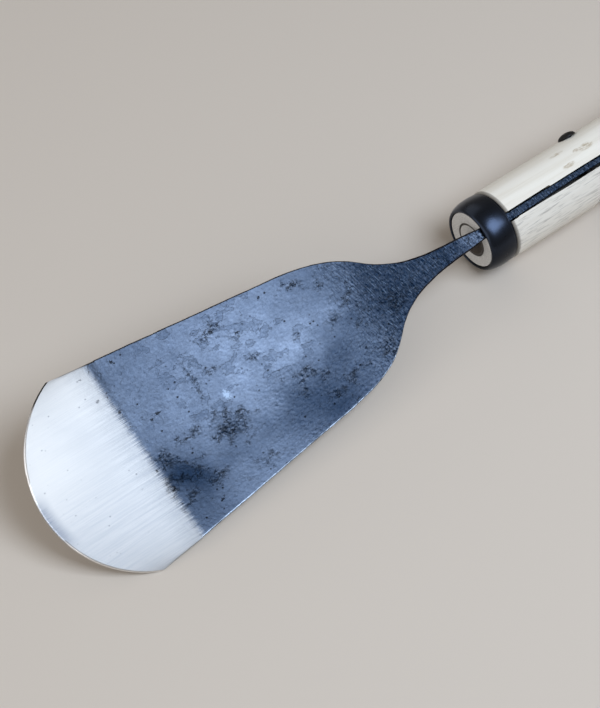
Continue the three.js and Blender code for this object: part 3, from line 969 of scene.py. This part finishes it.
def honed_edge(s, color):
    """The honed strip's share, and the colour with it, made black at the far corner, and a blue tip."""
    radius = s.length(s.add(s.reach, -EDGE_CENTRE), s.add(s.y, -EDGE_DRIFT))
    ahead = s.ramp(s.reach, 203, 206)
    hone = s.times(s.ramp(radius, EDGE_RADIUS - 0.75, EDGE_RADIUS - HONE_WIDTH), ahead)
    color = s.mix(hone, color, HONED_STEEL)
    streaked = s.ramp(s.add(s.scratch, s.times(s.coarse, 0.6)), 0.6, 1.0, 0.25, 0.8)
    tip = s.times(s.ramp(radius, EDGE_RADIUS - 6.5, EDGE_RADIUS - 0.5), s.ramp(s.y, -24, -13),
                  s.ramp(s.y, 8, -4), streaked)
    color = s.mix(s.times(tip, ahead), color, TIP_BLUE)
    # the honed strip turns black at the far corner
    return hone, s.mix(s.times(hone, s.ramp(s.y, 36, 40), 0.92), color, CORNER_BLACK)


def forged_roughness(s, dark, ground, hone):
    scale = s.add(0.39, s.swing(s.mottle, 0.2), s.times(dark, 0.2), s.times(s.crust, 0.04))
    roughness = s.blend(ground, scale, s.ramp(s.scratch, 0.3, 0.7, 0.54, 0.48))
    return s.blend(hone, roughness, 0.26)


def forged_relief(s, flaked, rough, crack, specks, ground):
    """Lumps, hammer strokes, cracks and pits on the scale, and fine scratches on the ground steel."""
    lump = s.noise((3.0, 2.3, 2.5), 1.5, 0.5, distortion=0.4)
    grit = s.noise((1.5, 1.2, 1.4), 1.5, 0.5, shift=(4, 4, 1), distortion=0.3)
    stroke = s.noise((0.9, 4.0, 4), 4, 0.6, turn=STROKE_TURN)
    grit_depth = s.add(0.13, s.times(s.crust, 0.24), s.times(s.hammered, 0.24), s.times(rough, 0.08))
    height = s.add(s.swing(lump, s.add(0.12, s.times(s.crust, 0.34))),
                   s.swing(grit, grit_depth), s.swing(stroke, s.hammered, 0.30),
                   s.times(crack, s.crust, -0.10), s.times(specks, -0.16), s.times(flaked, -0.05))
    unground = s.add(1.0, s.times(ground, -1.0))
    coarse_relief = s.bump(s.times(height, unground), 0.85)
    return s.bump(s.blend(ground, s.fine, s.scratch), 0.02, 0.8, coarse_relief)


def forged_steel(name, boundary, tilt, feather):
    """Forge scale that is ground bright ahead of boundary + tilt * y. feather is its streaks' length."""
    s = ForgedShader(name)
    flaked, rough, specks = thin_scale(s), rough_band(s), pits(s)
    crack, dark = crust_marks(s, specks)
    ground = ground_mask(s, boundary, tilt, feather)
    scale = edge_wear_and_shade(s, scale_color(s, flaked, rough, dark))
    hone, color = honed_edge(s, s.mix(ground, scale, ground_color(s, specks)))
    return s.set(color=color, metallic=1.0, roughness=forged_roughness(s, dark, ground, hone),
                 normal=forged_relief(s, flaked, rough, crack, specks, ground))


# ---- Oak ----

OAK_EARLY = (0.84, 0.79, 0.69, 1)
OAK_LATE = (0.91, 0.87, 0.78, 1)
OAK_FIBRE = (0.94, 0.905, 0.83, 1)
OAK_LOW_SHADE = (0.70, 0.665, 0.605, 1)
OAK_RAY = (0.48, 0.39, 0.27, 1)
OAK_PORE = (0.26, 0.245, 0.225, 1)
END_GRAIN_DARK = (0.60, 0.585, 0.56, 1)
END_GRAIN_LIGHT = (0.76, 0.745, 0.72, 1)
MOUTH_SOOT_AND_SHADOW = (0.035, 0.024, 0.017, 1)
GROOVE_SOOT_AND_SHADE = (0.03, 0.022, 0.018, 1)
SHOULDER_DARKENING = (0.17, 0.16, 0.145, 1)
SLOT_SHADE = (0.018, 0.016, 0.015, 1)

# Tan rays in the oak near the slot: (x, y, z), then their half length, width and depth.
RAYS = [((56.0, 13.2, 12.0), (4.6, 1.0, 1.3)), ((56.2, 5.8, 16.9), (4.2, 1.4, 1.2)),
        ((64.6, 10.1, 14.7), (2.0, 1.0, 1.2)), ((70.2, 9.4, 15.2), (4.8, 2.3, 2.0)),
        ((118.0, -6.0, 16.8), (3.8, 1.1, 1.2)), ((152.0, 11.0, 14.0), (4.6, 1.2, 1.4)),
        ((209.0, 2.0, 17.7), (3.2, 1.0, 1.2))]


def oak():
    s = Shader("oak")
    x, y, z = s.axes()
    radius = s.length(y, z)
    fibres = s.noise((36, 0.55, 0.55), 4, 0.65)
    low = s.ramp(s.add(y, s.swing(s.noise((70, 5, 5), 2), 10.0)), 0.5, -3.5)
    dashes = s.noise((9.5, 0.34, 0.34), 1, 0.5, shift=(5, 3, 9))
    pores = s.times(s.ramp(dashes, 0.575, 0.64), s.add(0.06, s.times(low, 0.94)))
    color = oak_length(s, y, z, fibres, low, pores)
    color = s.mix(s.ramp(x, 0.0, 0.9, 1, 0), color, sawn_end(s, y, z, radius))
    color = soot_and_shade(s, color, x, y, radius)
    height = s.add(s.times(fibres, 0.5), s.times(pores, -0.8))
    return s.set(color=color, roughness=s.ramp(fibres, 0.3, 0.7, 0.62, 0.52), specular=0.25,
                 normal=s.bump(height, 0.05, 0.6))


def oak_length(s, y, z, fibres, low, pores):
    """The wood's growth rings, fibres, tan rays and pores, with painted shade making its lower side greyer
    and darker, and more open pores there.
    """
    warp = s.noise((160, 18, 18), 2)
    layer = s.add(s.times(y, 0.22), s.times(z, 0.10), s.times(warp, 2.6))
    rings = s.ramp(s.math("PINGPONG", layer, 0.5), 0.08, 0.42)
    color = s.mix(rings, OAK_EARLY, OAK_LATE)
    color = s.mix(s.ramp(fibres, 0.35, 0.7, 0, 0.45), color, OAK_FIBRE)
    # painted shade: the lower side greyer and darker
    color = s.mix(s.times(low, 0.6), color, OAK_LOW_SHADE)
    ray = s.largest(*[s.spot(centre, size) for centre, size in RAYS])
    broken = s.ramp(s.noise((2.4, 0.6, 0.6), 3, 0.7), 0.36, 0.60)
    color = s.mix(s.times(ray, broken, 0.78), color, OAK_RAY)
    return s.mix(s.times(pores, 0.58), color, OAK_PORE)


def sawn_end(s, y, z, radius):
    """Grey end grain, darkened below the tang's mouth by brown soot and a painted shadow of the neck."""
    grain = s.noise((3, 0.5, 2.5), 4, 0.7)
    color = s.mix(s.ramp(grain, 0.3, 0.7), END_GRAIN_DARK, END_GRAIN_LIGHT)
    # brown soot and the neck's painted shadow below the tang's mouth
    mouth = s.times(s.ramp(radius, 8.8, 7.4), s.ramp(s.add(y, s.times(z, -0.15)), 1.0, -1.5))
    return s.mix(s.times(mouth, 0.97), color, MOUTH_SOOT_AND_SHADOW)


def soot_and_shade(s, color, x, y, radius):
    """Soot and painted shade in the turned groove, a darker ring on the shoulder behind the ferrule, and
    painted shade in the slot.
    """
    # soot and painted shade in the turned groove
    groove = s.ramp(s.math("ABSOLUTE", s.add(radius, -GROOVE_RADIUS)), 0.42, 0.72, 1, 0)
    color = s.mix(s.times(groove, s.ramp(x, 1.0, 2.0, 0.85, 0)), color, GROOVE_SOOT_AND_SHADE)
    # darker ring on the shoulder just behind the ferrule
    shoulder = s.times(s.ramp(x, 14.8, 15.7, 1, 0), s.ramp(x, 12, 13))
    color = s.mix(s.times(shoulder, 0.72), color, SHOULDER_DARKENING)
    # painted shade in the slot beside the tang
    inside = s.times(s.ramp(s.math("ABSOLUTE", y), 3.2, 2.0), s.ramp(radius, 17.5, 16.6), s.ramp(x, 2, 6),
                     s.ramp(x, 116, SLOT_LENGTH))
    return s.mix(s.times(inside, 0.9), color, SLOT_SHADE)


# ---- Black steel ----

RUBBED_BLACK = (0.05, 0.05, 0.052, 1)


def black_metal(name, color, roughness, specular, tint, dull=1.0):
    """Satin black steel with faint brushing and rubbed spots, and dull times the shine on its -y side."""
    s = Shader(name)
    y = s.axes()[1]
    cloud = s.noise((5, 5, 5), 4, 0.6)
    fine = s.noise((0.5, 0.5, 0.5), 4, 0.6)
    rubbed = s.ramp(s.noise((2.2, 1.4, 1.4), 5, 0.7, shift=(4, 1, 7)), 0.66, 0.76)
    lighter = tuple(c * 1.6 for c in color[:3]) + (1,)
    clouded = s.mix(s.ramp(cloud, 0.3, 0.7), color, lighter)
    return s.set(color=s.mix(s.times(rubbed, 0.3), clouded, RUBBED_BLACK), metallic=0.0,
                 roughness=s.add(roughness, s.swing(cloud, 0.06)), tint=tint,
                 specular=s.ramp(y, -15, -5, dull * specular, specular), normal=s.bump(fine, 0.012, 0.6))


# ---- Stage ----


def floor():
    mesh = bpy.data.meshes.new("floor")
    size = 6.0
    corners = [(-size, -size, 0), (size, -size, 0), (size, size, 0), (-size, size, 0)]
    mesh.from_pydata(corners, [], [(0, 1, 2, 3)])
    obj = bpy.data.objects.new("floor", mesh)
    bpy.context.scene.collection.objects.link(obj)
    s = Shader("floor")
    mesh.materials.append(s.set(color=(0.66, 0.59, 0.515, 1), roughness=0.9, specular=0.15))


def area_light(name, direction, distance, width, height, radiance, color):
    """A soft panel that faces the blade's middle from a direction."""
    target = TOOL @ Vector((-120, 0, 10))
    light = bpy.data.lights.new(name, "AREA")
    light.shape = "RECTANGLE"
    light.size = width
    light.size_y = height
    light.energy = radiance * math.pi * width * height
    light.color = color
    obj = bpy.data.objects.new(name, light)
    away = Vector(direction).normalized()
    obj.location = target + away * distance
    obj.rotation_euler = (-away).to_track_quat("-Z", "Y").to_euler()
    bpy.context.scene.collection.objects.link(obj)


def lights():
    world = bpy.data.worlds.new("studio")
    bpy.context.scene.world = world
    world.use_nodes = True
    background = world.node_tree.nodes["Background"]
    background.inputs["Color"].default_value = (1.0, 0.93, 0.85, 1)
    background.inputs["Strength"].default_value = 0.19
    area_light("window", (0.30, -0.45, 0.84), 1.3, 0.75, 0.75, 7.5, (0.74, 0.85, 1.0))
    area_light("room", (-0.88, -0.10, 0.46), 1.5, 2.4, 1.5, 1.1, (0.97, 0.98, 1.0))
    area_light("wall", (-0.1, 0.8, 0.6), 1.9, 2.0, 1.2, 0.5, (1.0, 0.96, 0.92))


def camera():
    """Looks down at the tool from ahead of the blade and to its near side."""
    data = bpy.data.cameras.new("camera")
    data.lens = 90.9
    data.sensor_width = 36
    data.clip_end = 20
    obj = bpy.data.objects.new("camera", data)
    heading = math.radians(37.39)
    down = math.radians(55.09)
    away = Vector((-384.9, -370.2, 662.1)) * MM
    level = math.cos(down)
    forward = Vector((math.sin(heading) * level, math.cos(heading) * level, -math.sin(down)))
    obj.location = FACE_CENTRE + away
    obj.rotation_euler = forward.to_track_quat("-Z", "Y").to_euler()
    bpy.context.scene.collection.objects.link(obj)
    bpy.context.scene.camera = obj


# ---- Build ----

bpy.context.scene.view_settings.view_transform = "Standard"
camera()
lights()
floor()

blade_forging(forged_steel("forge_scale", boundary=GROUND_START, tilt=GROUND_TILT, feather=6.5))
edge_steel(forged_steel("edge_steel", boundary=168.0, tilt=-0.03, feather=9.0))
handle(oak())
ferrule(black_metal("satin_black", (0.0015, 0.0014, 0.0013, 1), 0.28, 0.72, (0.50, 0.65, 1.0, 1), dull=0.4))
fastener_black = black_metal("black_oxide", (0.007, 0.006, 0.005, 1), 0.5, 0.25, (0.9, 0.9, 1.0, 1))
cross_bolt(fastener_black)
nut_washer(fastener_black)
hex_nut(fastener_black)
